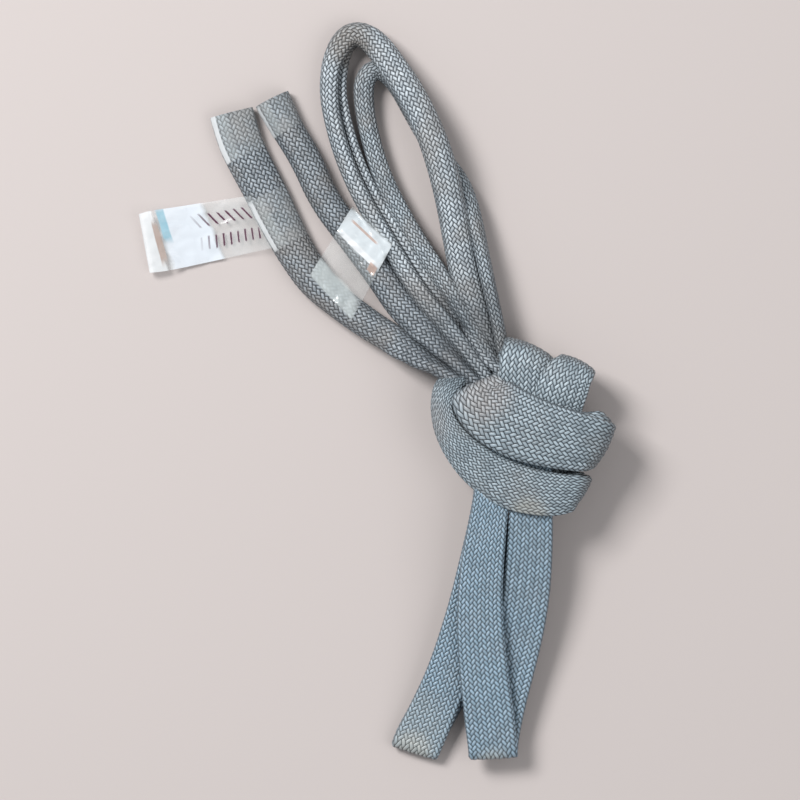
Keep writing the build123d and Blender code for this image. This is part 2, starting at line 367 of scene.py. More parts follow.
class Stuff:
    """One material and its nodes."""

    def __init__(self, name):
        self.material = bpy.data.materials.new(name)
        self.material.use_nodes = True
        self.tree = self.material.node_tree
        self.tree.nodes.clear()

    def add(self, kind, settings=None, sockets=None, out=0):
        node = self.tree.nodes.new(kind)
        for key, value in (settings or {}).items():
            setattr(node, key, value)
        for key, value in (sockets or {}).items():
            if isinstance(value, Wire):
                self.tree.links.new(value.socket, node.inputs[key])
            elif isinstance(value, tuple) and len(value) == 3 and node.inputs[key].type == "RGBA":
                node.inputs[key].default_value = (*value, 1.0)
            else:
                node.inputs[key].default_value = value
        return Wire(self, node.outputs[out]) if node.outputs else None

    def blend(self, share, one, other):
        """A colour that goes from one to other as share goes from 0 to 1."""
        sockets = {0: share, 6: one, 7: other}
        return self.add("ShaderNodeMix", {"data_type": "RGBA"}, sockets, out=2)

    def noise(self, place, scale, detail):
        sockets = {"Vector": place, "Scale": scale, "Detail": detail}
        return self.add("ShaderNodeTexNoise", {}, sockets)

    def close_to(self, place, point, reach):
        """1 at a point of the piece, fading to 0 at its reach."""
        settings = {"operation": "DISTANCE"}
        far = self.add("ShaderNodeVectorMath", settings, {0: place, 1: point}, out=1)
        return 1 - (far / reach).clear_of(0.35, 1.0)

    def finish(self, **sockets):
        """Ends the material in a Principled shader."""
        named = {key.replace("_", " "): value for key, value in sockets.items()}
        surface = self.add("ShaderNodeBsdfPrincipled", {}, named)
        self.add("ShaderNodeOutputMaterial", {}, {"Surface": surface})
        return self.material


YARN = (0.130, 0.155, 0.178)  # weathered blue-grey polyester
YARN_LIT = (0.58, 0.65, 0.70)  # painted highlight: the crown of a stitch where it takes the light
GAP_SHADE = (0.012, 0.018, 0.026)  # painted shade in the hollows between the stitches
SIDE_SHADE = (0.045, 0.056, 0.068)  # painted shade down the sides that face away from above
SIDE_SHARE, GAP_SHARE = 0.86, 0.92  # how far the painted shade darkens the sides and the gaps
STITCH_BUMP = 0.00022  # the height of the yarn's own roundness and of its filaments
DUST = (0.30, 0.26, 0.225)  # brown grime


def braid_stuff(name, yarn, crown, stains=(), grime=0.35):
    """Plaited yarn: slanted stitches in columns, each its own tone, with grime and stains.
    The crown of each stitch takes a painted highlight in the colour crown, and painted shade
    darkens the gaps between the stitches and the sides that face away from above.

    A stain is a point on the piece, its reach, its colour and how strong it is. Stains in
    the colour NECK_SHADE are painted shade.
    """
    stuff = Stuff(name)
    place = stuff.add("ShaderNodeTexCoord", out=3)
    plait = stuff.add("ShaderNodeUVMap", {"uv_map": "Braid"})
    columns = stuff.add("ShaderNodeSeparateXYZ", {}, {0: plait}, out=0)
    stitches = stuff.add("ShaderNodeSeparateXYZ", {}, {0: plait}, out=1)
    # two families of yarn cross at a slant; step says which is on top, and how far along
    one, other = stitches + columns, stitches - columns
    one_cell, other_cell = one.maths("FLOOR"), other.maths("FLOOR")
    step = (one_cell - other_cell).maths("MODULO", 4.0)
    under = step.maths("GREATER_THAN", 1.5)
    over = 1 - under
    along = ((one - one_cell + step) * over + (other - other_cell + 3 - step) * under) * 0.5
    across = (other - other_cell) * over + (one - one_cell) * under
    far_across = (across * 2 - 1).maths("ABSOLUTE")
    far_along = (along * 2 - 1).maths("ABSOLUTE")
    body = (1 - far_along**4) * (1 - far_across**4)
    # the corner of the stitch that a point is on, which gives each stitch its own shade
    own_one, own_other = one_cell - step * over, other_cell - (3 - step) * under
    own = stuff.add("ShaderNodeCombineXYZ", {}, {0: own_one, 1: own_other})
    shade = stuff.add("ShaderNodeTexWhiteNoise", {"noise_dimensions": "2D"}, {"Vector": own})
    strands = (across * 8 * math.pi).maths("SINE") * 0.5 + 0.5
    wander = stuff.noise(place, 60.0, 3.0)
    fine = stuff.noise(place, 900.0, 2.0)
    # painted highlight on the crown of each stitch, stronger or weaker at random from stitch to
    # stitch
    crown_highlight = body.clear_of(0.40, 0.95) * (shade * 0.6 + 0.5)
    colour = stuff.blend(crown_highlight, yarn, crown)
    colour = stuff.blend(wander.clear_of(0.42, 0.72) * grime, colour, DUST)
    # the stains; those in the colour NECK_SHADE are painted shade
    for point, reach, tint, strength in stains:
        spread = stuff.close_to(place, point, reach) * (fine * 0.6 + 0.5) * strength
        colour = stuff.blend(spread.maths("MINIMUM", 1.0), colour, tint)
    # painted shade: the sides that face away from above are darkened
    facing = stuff.add("ShaderNodeNewGeometry", out=1)
    upward = stuff.add("ShaderNodeSeparateXYZ", {}, {0: facing}, out=2)
    colour = stuff.blend((1 - upward.clear_of(-0.1, 0.92)) * SIDE_SHARE, colour, SIDE_SHADE)
    # painted shade in the gaps between the stitches
    gap_shade_mask = 1 - body.clear_of(0.06, 0.58)
    colour = stuff.blend(gap_shade_mask * GAP_SHARE, colour, GAP_SHADE)
    relief = body * 0.8 + strands * body * 0.14 + fine * 0.10
    sockets = {"Strength": 0.9, "Distance": STITCH_BUMP, "Height": relief}
    bump = stuff.add("ShaderNodeBump", {}, sockets)
    return stuff.finish(
        Base_Color=colour,
        Roughness=(0.54 - body * 0.22 + wander * 0.10),
        Specular_IOR_Level=0.75,
        Sheen_Weight=0.08,
        Normal=bump,
    )


END_A_STATIONS = [
    (0.00, 5.0, 4.6, -60, 3),
    (0.20, 5.0, 4.6, -95, 0),
    (0.42, 4.9, 4.4, -150, -6),
    (0.55, 4.7, 4.1, -210, -14),
    (0.68, 4.4, 3.8, -225, -40),
    (0.76, 4.4, 4.0, -140, -70),
    (0.83, 4.5, 4.2, -50, -84),
    (0.90, 4.0, 3.8, -20, -88),
    (1.00, 3.0, 3.0, 0, -88),
]
END_B_STATIONS = [
    (0.00, 5.0, 4.8, -165, 0),
    (0.12, 4.6, 4.4, -210, -4),
    (0.42, 4.4, 4.0, -230, -12),
    (0.56, 4.4, 4.0, -235, -22),
    (0.67, 4.3, 3.8, -220, -44),
    (0.75, 4.3, 3.9, -130, -72),
    (0.83, 4.3, 4.0, -40, -84),
    (0.90, 3.8, 3.6, -20, -86),
    (1.00, 2.8, 2.8, 0, -88),
]
NECK_SHADE = (0.035, 0.045, 0.055)  # painted shade where the strands are drawn together at the neck, and inside the inner loop's bend
ends_stuff = braid_stuff(
    "braid_ends",
    (0.078, 0.090, 0.102),
    (0.335, 0.380, 0.420),
    stains=[((-0.0220, 0.0180, 0.0080), 0.024, NECK_SHADE, 0.5)],
    grime=0.45,
)
loose_end_a, line_a = lay_cord("loose_end_a", END_A, END_A_STATIONS, ends_stuff, mouth=True)
loose_end_b, line_b = lay_cord("loose_end_b", END_B, END_B_STATIONS, ends_stuff, mouth=True)


def declare_cord(piece):
    """Hangs a piece, a free stretch of the lace that enters the knot where it ends, from the root
    body.
    """
    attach(piece, "root")


declare_cord(loose_end_a)
declare_cord(loose_end_b)
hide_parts("lace_end_a")
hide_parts("lace_end_b")

# The two loops, one inside the other. In the outer one the flat braid is folded lengthwise,
# so it shows two rolls with a groove between them; the inner one stands on its edge, and
# its far leg dips under the outer loop.
OUTER_LOOP = [
    (-0.0010, 0.0020, 0.0100),
    (-0.0088, 0.0138, 0.0092),
    (-0.0140, 0.0210, 0.0090),
    (-0.0203, 0.0298, 0.0088),
    (-0.0287, 0.0404, 0.0080),
    (-0.0340, 0.0480, 0.0068),
    (-0.0416, 0.0614, 0.0056),
    (-0.0502, 0.0754, 0.0052),
    (-0.0566, 0.0894, 0.0052),
    (-0.0606, 0.1032, 0.0052),
    (-0.0622, 0.1125, 0.0052),
    (-0.0617, 0.1210, 0.0052),
    (-0.0597, 0.1282, 0.0052),
    (-0.0557, 0.1328, 0.0053),
    (-0.0502, 0.1324, 0.0058),
    (-0.0454, 0.1282, 0.0074),
    (-0.0406, 0.1216, 0.0100),
    (-0.0350, 0.1126, 0.0130),
    (-0.0300, 0.1032, 0.0142),
    (-0.0260, 0.0928, 0.0142),
    (-0.0229, 0.0822, 0.0134),
    (-0.0206, 0.0718, 0.0124),
    (-0.0186, 0.0606, 0.0114),
    (-0.0159, 0.0472, 0.0102),
    (-0.0126, 0.0366, 0.0096),
    (-0.0084, 0.0262, 0.0092),
    (-0.0040, 0.0166, 0.0094),
    (0.0020, 0.0080, 0.0100),
]
OUTER_STATIONS = [
    (0.00, 3.0, 3.0, 0, 88),
    (0.04, 3.8, 3.6, 20, 88),
    (0.08, 4.4, 4.0, 70, 80),
    (0.13, 4.6, 3.6, 195, 56),
    (0.18, 4.5, 3.4, 230, 40),
    (0.27, 4.5, 2.9, 235, 29),
    (0.38, 4.5, 2.7, 236, 26),
    (0.46, 4.3, 2.7, 240, 42),
    (0.50, 4.2, 3.2, 250, 74),
    (0.56, 4.4, 3.8, 235, 125),
    (0.62, 4.5, 4.2, 230, 158),
    (0.70, 4.5, 4.4, 225, 182),
    (0.80, 4.5, 4.4, 225, 192),
    (0.88, 4.4, 4.2, 205, 182),
    (0.93, 4.0, 3.8, 110, 130),
    (0.97, 3.4, 3.4, 30, 98),
    (1.00, 2.8, 2.8, 0, 92),
]
INNER_LOOP = [
    (0.0010, 0.0060, 0.0096),
    (-0.0046, 0.0158, 0.0092),
    (-0.0103, 0.0263, 0.0088),
    (-0.0156, 0.0340, 0.0086),
    (-0.0210, 0.0428, 0.0080),
    (-0.0290, 0.0548, 0.0068),
    (-0.0343, 0.0631, 0.0060),
    (-0.0388, 0.0710, 0.0052),
    (-0.0446, 0.0826, 0.0048),
    (-0.0480, 0.0932, 0.0046),
    (-0.0502, 0.1024, 0.0046),
    (-0.0513, 0.1104, 0.0046),
    (-0.0512, 0.1164, 0.0046),
    (-0.0484, 0.1206, 0.0046),
    (-0.0436, 0.1202, 0.0046),
    (-0.0394, 0.1154, 0.0046),
    (-0.0352, 0.1076, 0.0046),
    (-0.0294, 0.0972, 0.0046),
    (-0.0228, 0.0882, 0.0048),
    (-0.0174, 0.0812, 0.0056),
    (-0.0146, 0.0746, 0.0066),
    (-0.0122, 0.0656, 0.0074),
    (-0.0102, 0.0570, 0.0080),
    (-0.0079, 0.0462, 0.0086),
    (-0.0056, 0.0366, 0.0088),
    (-0.0036, 0.0276, 0.0090),
    (-0.0026, 0.0198, 0.0094),
    (0.0030, 0.0100, 0.0100),
]
INNER_STATIONS = [
    (0.00, 3.0, 3.0, 0, 88),
    (0.05, 3.9, 3.7, 10, 88),
    (0.11, 4.2, 4.0, 30, 88),
    (0.17, 3.6, 3.4, 120, 92),
    (0.24, 2.9, 2.7, 270, 98),
    (0.42, 2.7, 2.5, 305, 102),
    (0.50, 3.0, 2.8, 240, 106),
    (0.58, 2.7, 2.5, 290, 98),
    (0.66, 2.9, 2.7, 250, 92),
    (0.74, 3.4, 3.2, 140, 90),
    (0.82, 4.0, 3.8, 40, 90),
    (0.92, 3.8, 3.6, 10, 90),
    (1.00, 2.6, 2.6, 0, 90),
]
loops_stuff = braid_stuff(
    "braid_loops",
    YARN,
    YARN_LIT,
    stains=[
        ((-0.0560, 0.1290, 0.0080), 0.012, (0.16, 0.12, 0.085), 0.8),
        ((-0.0330, 0.0370, 0.0100), 0.016, (0.20, 0.175, 0.155), 0.5),
        ((-0.0160, 0.0270, 0.0080), 0.026, NECK_SHADE, 0.6),
    ],
    grime=0.40,
)
# the inner loop's colours are the loops' own, darkened: painted shade, for it lies lower and in
# shade
inner_stuff = braid_stuff(
    "braid_inner_loop",
    (0.080, 0.098, 0.114),
    (0.46, 0.53, 0.58),
    stains=[
        ((-0.0090, 0.0320, 0.0080), 0.024, NECK_SHADE, 0.6),
        ((-0.0390, 0.1130, 0.0050), 0.016, NECK_SHADE, 0.7),
    ],
    grime=0.40,
)
OUTER_GIRTH, INNER_GIRTH = 0.0340, 0.0270  # the pull of the knot draws the braid in
outer_loop, outer_line = lay_cord(
    "outer_loop", OUTER_LOOP, OUTER_STATIONS, loops_stuff, OUTER_GIRTH
)
inner_loop, inner_line = lay_cord(
    "inner_loop", INNER_LOOP, INNER_STATIONS, inner_stuff, INNER_GIRTH
)
declare_cord(outer_loop)
declare_cord(inner_loop)
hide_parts("lace_outer_loop", "lace_neck")
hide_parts("lace_inner_loop")

# The knot's four bands. Each is three thicknesses of the braid, pressed flat on each other
# by the pull of the knot. Two wraps cross its front and turn in behind it on the right; two
# tops come out above them and fold over to the back, where they run down to the left.
LAYER = 0.0023  # one pressed thickness
LAYER_STEP = 1.02 * LAYER  # from one layer's middle to the next
SPREAD = 0.0005  # how far a lower layer may lie to either side
NARROWED = (0.0001, 0.0007)  # how much less wide a lower layer is
FAN_AT, FAN_REACH = 0.66, 0.10  # where along a band its layers fan out, as shares of it
LAYER_SHIFT = 0.01  # a lower layer's stitches are out of step with the top one's
# the left and the right edge of a band at each station of its route
UPPER_WRAP = [
    ((-0.0060, 0.0080, 0.0215), (-0.0120, 0.0030, 0.0210)),
    ((-0.0060, 0.0128, 0.0232), (-0.0165, 0.0080, 0.0222)),
    ((-0.0036, 0.0142, 0.0260), (-0.0200, 0.0060, 0.0240)),
    ((-0.0012, 0.0105, 0.0274), (-0.0198, 0.0005, 0.0248)),
    ((0.0050, 0.0058, 0.0278), (-0.0143, -0.0056, 0.0256)),
    ((0.0125, 0.0030, 0.0278), (-0.0048, -0.0118, 0.0264)),
    ((0.0205, 0.0008, 0.0274), (0.0077, -0.0158, 0.0268)),
    ((0.0280, -0.0010, 0.0266), (0.0180, -0.0178, 0.0264)),
    ((0.0338, -0.0026, 0.0245), (0.0250, -0.0185, 0.0246)),
    ((0.0362, -0.0034, 0.0190), (0.0280, -0.0186, 0.0190)),
    ((0.0340, -0.0032, 0.0120), (0.0266, -0.0184, 0.0120)),
    ((0.0270, -0.0025, 0.0088), (0.0200, -0.0176, 0.0088)),
    ((0.0100, -0.0020, 0.0085), (0.0060, -0.0166, 0.0085)),
]
LOWER_WRAP = [
    ((-0.0140, 0.0150, 0.0100), (-0.0195, 0.0165, 0.0050)),
    ((-0.0160, 0.0115, 0.0170), (-0.0238, 0.0140, 0.0110)),
    ((-0.0192, 0.0080, 0.0216), (-0.0268, 0.0098, 0.0150)),
    ((-0.0218, 0.0035, 0.0232), (-0.0278, 0.0030, 0.0160)),
    ((-0.0198, -0.0024, 0.0236), (-0.0267, -0.0058, 0.0170)),
    ((-0.0139, -0.0088, 0.0238), (-0.0228, -0.0145, 0.0185)),
    ((-0.0052, -0.0149, 0.0236), (-0.0164, -0.0229, 0.0200)),
    ((0.0048, -0.0188, 0.0234), (-0.0064, -0.0303, 0.0214)),
    ((0.0140, -0.0208, 0.0230), (0.0053, -0.0333, 0.0220)),
    ((0.0216, -0.0216, 0.0222), (0.0140, -0.0333, 0.0220)),
    ((0.0268, -0.0216, 0.0198), (0.0204, -0.0310, 0.0204)),
    ((0.0276, -0.0214, 0.0150), (0.0220, -0.0310, 0.0150)),
    ((0.0250, -0.0210, 0.0105), (0.0194, -0.0304, 0.0105)),
    ((0.0120, -0.0204, 0.0085), (0.0080, -0.0304, 0.0085)),
]
LEFT_TOP = [
    ((-0.0030, -0.0230, 0.0150), (0.0110, -0.0250, 0.0150)),
    ((-0.0032, 0.0020, 0.0195), (0.0125, 0.0000, 0.0190)),
    ((-0.0034, 0.0130, 0.0210), (0.0122, 0.0070, 0.0204)),
    ((-0.0032, 0.0202, 0.0214), (0.0130, 0.0136, 0.0206)),
    ((-0.0022, 0.0246, 0.0204), (0.0140, 0.0178, 0.0198)),
    ((-0.0018, 0.0268, 0.0150), (0.0144, 0.0198, 0.0150)),
    ((-0.0023, 0.0262, 0.0064), (0.0140, 0.0192, 0.0064)),
    ((-0.0050, 0.0240, 0.0024), (0.0110, 0.0160, 0.0024)),
    ((-0.0130, 0.0170, 0.0020), (0.0010, 0.0058, 0.0020)),
    ((-0.0210, 0.0084, 0.0020), (-0.0090, -0.0044, 0.0020)),
    ((-0.0250, 0.0034, 0.0034), (-0.0165, -0.0110, 0.0034)),
    ((-0.0256, 0.0020, 0.0080), (-0.0180, -0.0126, 0.0080)),
]
RIGHT_TOP = [
    ((0.0050, -0.0240, 0.0150), (0.0230, -0.0220, 0.0150)),
    ((0.0065, 0.0010, 0.0205), (0.0236, 0.0015, 0.0205)),
    ((0.0084, 0.0080, 0.0232), (0.0258, 0.0075, 0.0226)),
    ((0.0112, 0.0148, 0.0238), (0.0274, 0.0116, 0.0228)),
    ((0.0156, 0.0192, 0.0224), (0.0286, 0.0142, 0.0212)),
    ((0.0170, 0.0208, 0.0170), (0.0289, 0.0150, 0.0160)),
    ((0.0162, 0.0200, 0.0072), (0.0284, 0.0142, 0.0070)),
    ((0.0120, 0.0156, 0.0024), (0.0244, 0.0086, 0.0024)),
    ((0.0000, 0.0040, 0.0020), (0.0120, -0.0065, 0.0020)),
    ((-0.0100, -0.0065, 0.0020), (0.0015, -0.0175, 0.0020)),
    ((-0.0170, -0.0140, 0.0034), (-0.0070, -0.0250, 0.0034)),
    ((-0.0188, -0.0162, 0.0080), (-0.0100, -0.0276, 0.0080)),
]
shuffle = np.random.default_rng(14)


def lay_band(name, stations, crown, material, columns, fan=0.0, starts=(0.0, 0.05, 0.1)):
    """Lays a band of the knot between its two edges, one layer of braid on another.

    A fan makes each lower layer stand out beyond the one on it, where the band turns back.
    """
    edges = [smooth_line([pair[side] for pair in stations]) for side in (0, 1)]
    braid = Braid(name, columns)
    for layer, start in enumerate(starts):
        outermost = layer == 0
        near, far = spaced(edges, RING if outermost else 2 * RING)
        count = ROUND if outermost else ROUND // 2
        first = int(start * len(near))
        near, far = near[first:], far[first:]
        middle = (near + far) / 2
        width = np.linalg.norm(near - far, axis=1)
        left = unit(near - far)
        ahead = unit(np.gradient(middle, axis=0))
        out = unit(np.cross(ahead, left))
        left = np.cross(out, ahead)
        inset = shuffle.uniform(*NARROWED) * (not outermost)
        places = np.linspace(start, 1, len(middle))
        sway = shuffle.uniform(-SPREAD, SPREAD) * (not outermost)
        fanned = np.exp(-(((places - FAN_AT) / FAN_REACH) ** 2))
        aside = left * (sway + fan * layer * fanned)[:, None]
        arch = -np.radians(eased(crown, 1, places))
        thick = np.full(len(middle), LAYER)
        flat = (width - inset) * (1 + arch**2 / 24) - LAYER
        rings = outlines(flat, thick, thick, arch, count)
        lower = middle - out * LAYER_STEP * layer
        braid.skin(lower + aside, left, out, rings, count, start=layer * LAYER_SHIFT)
    return braid.build(material)


wrap_stuff = braid_stuff(
    "braid_wraps",
    (0.100, 0.132, 0.156),
    (0.405, 0.49, 0.545),
    stains=[
        ((-0.0090, 0.0070, 0.0270), 0.013, (0.36, 0.30, 0.27), 0.55),
        ((0.0060, -0.0345, 0.0220), 0.009, (0.46, 0.44, 0.38), 0.6),
        ((-0.0270, -0.0020, 0.0170), 0.012, (0.36, 0.33, 0.32), 0.4),
    ],
    grime=0.22,
)
tops_stuff = braid_stuff("braid_tops", (0.118, 0.156, 0.186), (0.46, 0.55, 0.605), grime=0.15)
# share of the way along a band, and how much it is arched there, in degrees
LITTLE_CROWN = [(0.0, 20), (0.3, 34), (0.7, 26), (1.0, 10)]
ROUND_CROWN = [(0.0, 40), (0.25, 62), (0.5, 44), (0.7, 30), (1.0, 10)]
SPLAYED, PRESSED = 30, 28  # half columns, where the braid is pressed wide
TURN_BACK = 0.0010  # how far each layer stands out where the upper wrap turns back
upper_wrap = lay_band(
    "upper_wrap", UPPER_WRAP, LITTLE_CROWN, wrap_stuff, SPLAYED, fan=TURN_BACK
)
lower_wrap = lay_band("lower_wrap", LOWER_WRAP, ROUND_CROWN, wrap_stuff, PRESSED)
left_top = lay_band("left_top", LEFT_TOP, LITTLE_CROWN, tops_stuff, PRESSED)
right_top = lay_band("right_top", RIGHT_TOP, LITTLE_CROWN, tops_stuff, PRESSED)
for band, nodes in (
    (upper_wrap, ["knot_upper_wrap"]),
    (lower_wrap, ["knot_lower_wrap"]),
    (left_top, ["knot_left_top", "knot_back_band"]),
    (right_top, ["knot_right_top"]),
):
    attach(band, "root")
    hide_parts(*nodes)

# The legs: three long bights of flat braid hanging from the knot. Each runs down, folds
# sharply on itself and runs back up a little to the right of itself.
MIDDLE_BIGHT = [
    ((0.0000, -0.0120, 0.0200), (-0.0120, -0.0120, 0.0200)),
    ((-0.0006, -0.0260, 0.0200), (-0.0122, -0.0260, 0.0200)),
    ((-0.0018, -0.0370, 0.0194), (-0.0142, -0.0370, 0.0192)),
    ((-0.0028, -0.0510, 0.0178), (-0.0172, -0.0510, 0.0178)),
    ((-0.0034, -0.0650, 0.0160), (-0.0184, -0.0650, 0.0160)),
    ((-0.0024, -0.0790, 0.0144), (-0.0184, -0.0790, 0.0144)),
    ((-0.0008, -0.0930, 0.0128), (-0.0172, -0.0930, 0.0128)),
    ((0.0012, -0.1060, 0.0112), (-0.0158, -0.1066, 0.0112)),
    ((0.0020, -0.1144, 0.0102), (-0.0146, -0.1154, 0.0102)),
    ((0.0022, -0.1172, 0.0096), (-0.0144, -0.1184, 0.0096)),
    ((0.0022, -0.1180, 0.0088), (-0.0144, -0.1192, 0.0088)),
    ((0.0022, -0.1172, 0.0080), (-0.0142, -0.1184, 0.0080)),
    ((0.0026, -0.1120, 0.0076), (-0.0136, -0.1130, 0.0076)),
    ((0.0046, -0.1010, 0.0080), (-0.0116, -0.1026, 0.0080)),
    ((0.0080, -0.0880, 0.0090), (-0.0082, -0.0890, 0.0090)),
    ((0.0110, -0.0760, 0.0106), (-0.0050, -0.0768, 0.0106)),
    ((0.0134, -0.0620, 0.0132), (-0.0028, -0.0620, 0.0132)),
    ((0.0142, -0.0460, 0.0166), (-0.0012, -0.0460, 0.0166)),
    ((0.0140, -0.0300, 0.0194), (-0.0004, -0.0300, 0.0194)),
    ((0.0138, -0.0120, 0.0200), (0.0000, -0.0120, 0.0200)),
]
LEFT_BIGHT = [
    ((-0.0005, -0.0120, 0.0175), (-0.0118, -0.0120, 0.0175)),
    ((-0.0010, -0.0260, 0.0175), (-0.0124, -0.0256, 0.0175)),
    ((-0.0020, -0.0385, 0.0162), (-0.0146, -0.0376, 0.0162)),
    ((-0.0038, -0.0515, 0.0140), (-0.0176, -0.0504, 0.0140)),
    ((-0.0068, -0.0665, 0.0118), (-0.0210, -0.0644, 0.0118)),
    ((-0.0106, -0.0810, 0.0104), (-0.0252, -0.0782, 0.0104)),
    ((-0.0150, -0.0940, 0.0084), (-0.0294, -0.0900, 0.0084)),
    ((-0.0194, -0.1050, 0.0062), (-0.0344, -0.1006, 0.0062)),
    ((-0.0230, -0.1136, 0.0048), (-0.0386, -0.1090, 0.0048)),
    ((-0.0250, -0.1182, 0.0044), (-0.0406, -0.1132, 0.0044)),
    ((-0.0254, -0.1192, 0.0038), (-0.0410, -0.1142, 0.0038)),
    ((-0.0255, -0.1196, 0.0028), (-0.0411, -0.1146, 0.0028)),
    ((-0.0254, -0.1190, 0.0018), (-0.0410, -0.1140, 0.0018)),
    ((-0.0236, -0.1144, 0.0016), (-0.0392, -0.1096, 0.0016)),
    ((-0.0160, -0.1000, 0.0024), (-0.0310, -0.0950, 0.0024)),
    ((-0.0070, -0.0840, 0.0060), (-0.0220, -0.0790, 0.0060)),
    ((0.0026, -0.0690, 0.0078), (-0.0126, -0.0644, 0.0078)),
    ((0.0106, -0.0550, 0.0100), (-0.0046, -0.0510, 0.0100)),
    ((0.0134, -0.0400, 0.0140), (-0.0008, -0.0390, 0.0140)),
    ((0.0136, -0.0270, 0.0172), (-0.0002, -0.0270, 0.0172)),
    ((0.0136, -0.0120, 0.0177), (0.0000, -0.0120, 0.0177)),
]
UNDER_BIGHT = [
    ((-0.0005, -0.0120, 0.0150), (-0.0118, -0.0120, 0.0150)),
    ((-0.0010, -0.0270, 0.0150), (-0.0118, -0.0260, 0.0150)),
    ((-0.0016, -0.0430, 0.0110), (-0.0144, -0.0420, 0.0110)),
    ((-0.0012, -0.0620, 0.0066), (-0.0152, -0.0620, 0.0066)),
    ((-0.0004, -0.0820, 0.0050), (-0.0146, -0.0820, 0.0050)),
    ((0.0000, -0.0980, 0.0046), (-0.0140, -0.0980, 0.0046)),
    ((0.0002, -0.1060, 0.0044), (-0.0136, -0.1065, 0.0044)),
    ((0.0004, -0.1094, 0.0040), (-0.0136, -0.1100, 0.0040)),
    ((0.0004, -0.1102, 0.0028), (-0.0136, -0.1108, 0.0028)),
    ((0.0004, -0.1094, 0.0018), (-0.0136, -0.1100, 0.0018)),
    ((0.0010, -0.1040, 0.0015), (-0.0130, -0.1045, 0.0015)),
    ((0.0046, -0.0920, 0.0015), (-0.0100, -0.0930, 0.0015)),
    ((0.0090, -0.0770, 0.0020), (-0.0054, -0.0780, 0.0020)),
    ((0.0122, -0.0620, 0.0038), (-0.0026, -0.0630, 0.0038)),
    ((0.0132, -0.0430, 0.0090), (-0.0010, -0.0430, 0.0090)),
    ((0.0134, -0.0270, 0.0140), (-0.0002, -0.0270, 0.0140)),
    ((0.0134, -0.0120, 0.0150), (0.0000, -0.0120, 0.0150)),
]
LEG_THICKNESS = 0.0022
LEG_REST = 0.0018  # the middle of a leg that lies on the table
LEG_ARCH = -8.0  # degrees; a leg's edges lift a little


def lay_bight(name, stations, material):
    """Lays one flat stretch that folds back on itself, and returns it with its middle line."""
    edges = [smooth_line([pair[side] for pair in stations]) for side in (0, 1)]
    near, far = spaced(edges, RING)
    middle = (near + far) / 2
    ahead = unit(np.gradient(middle, axis=0))
    out = unit(np.cross(ahead, near - far))
    left = np.cross(out, ahead)
    middle[:, 2] = np.maximum(middle[:, 2], LEG_REST)
    width = np.linalg.norm(near - far, axis=1)
    thick = np.full(len(middle), LEG_THICKNESS)
    arch = np.radians(np.full(len(middle), LEG_ARCH))
    rings = outlines(width - LEG_THICKNESS, thick, thick, arch, ROUND)
    braid = Braid(name)
    braid.skin(middle, left, out, rings, ROUND)
    return braid.build(material), middle


legs_stuff = braid_stuff(
    "braid_legs",
    (0.135, 0.205, 0.260),
    (0.32, 0.45, 0.56),
    stains=[
        ((-0.0345, -0.1175, 0.0045), 0.010, (0.52, 0.51, 0.45), 0.8),
        ((-0.0060, -0.1225, 0.0100), 0.009, (0.50, 0.51, 0.48), 0.7),
        ((-0.0350, -0.1100, 0.0045), 0.022, (0.46, 0.48, 0.46), 0.35),
    ],
    grime=0.12,
)
for leg_name, stations in (
    ("middle_bight", MIDDLE_BIGHT),
    ("left_bight", LEFT_BIGHT),
    ("under_bight", UNDER_BIGHT),
):
    leg, leg_line = lay_bight(leg_name, stations, legs_stuff)
    declare_cord(leg)
    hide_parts("leg_" + leg_name)

# The clear tape round each cut end, which keeps the plait from fraying. It is one turn of
# glossy packing tape, pressed on by hand, a little milky, with a painted white reflection
# along its left.
TAPE_PROUD = 0.00045  # from the yarn's ground to the film
PRESSED_CREASE = (0.012, 0.00007)  # how far apart the creases of a pressed film are, and high
END_TAPE_A, END_TAPE_B = 0.0160, 0.0130  # how much of each end its tape covers
CLEAR = (0.76, 0.84, 0.83)
WHITE = (0.96, 0.98, 1.0)
PEN = (0.085, 0.010, 0.045)  # dark plum felt pen
BUCKLE_BUMP = 0.0004  # the height of a film's smallest buckles


def lay_film(name, grid, material, closed=False):
    """A film through a grid of points, closed round its columns if it is a sleeve."""
    rows, columns = grid.shape[:2]
    if closed:
        grid = np.concatenate([grid, grid[:, :1]], axis=1)
        columns += 1
    row, column = np.meshgrid(np.arange(rows - 1), np.arange(columns - 1), indexing="ij")
    row, column = row.ravel(), column.ravel()
    ring = np.stack([row, row, row + 1, row + 1], 1)
    spot = np.stack([column, column + 1, column + 1, column], 1)
    wrapped = spot % (columns - 1) if closed else spot
    faces = ring * (columns - closed) + wrapped
    points = grid[:, : columns - closed].reshape(-1, 3)
    mesh = bpy.data.meshes.new(name)
    mesh.from_pydata(points.tolist(), [], faces.tolist())
    places = np.stack([spot / (columns - 1), ring / (rows - 1)], -1).reshape(-1, 2)
    for label in ("Film", "OFBake"):
        layer = mesh.uv_layers.new(name=label)
        layer.data.foreach_set("uv", (0.004 + 0.992 * places).ravel())
    mesh.polygons.foreach_set("use_smooth", np.ones(len(mesh.polygons), bool))
    mesh.materials.append(material)
    mesh.update()
    piece = bpy.data.objects.new(name, mesh)
    bpy.context.scene.collection.objects.link(piece)
    return piece


def creases(grid, size, height, seed):
    """Small random buckles for a film, as a height at each of its points."""
    draw = np.random.default_rng(seed)
    flat = grid.reshape(-1, 3)
    total = np.zeros(len(flat))
    for _ in range(10):
        heading = draw.uniform(0, 2 * math.pi)
        wave = draw.uniform(0.6, 2.2) * 2 * math.pi / size
        phase = draw.uniform(0, 2 * math.pi)
        along = flat[:, 0] * math.cos(heading) + flat[:, 1] * math.sin(heading)
        total += (1 - np.abs(np.sin(along * wave / 2 + phase))) * draw.uniform(0.3, 1.0)
    return ((total - total.mean()) / total.std()).reshape(grid.shape[:2]) * height


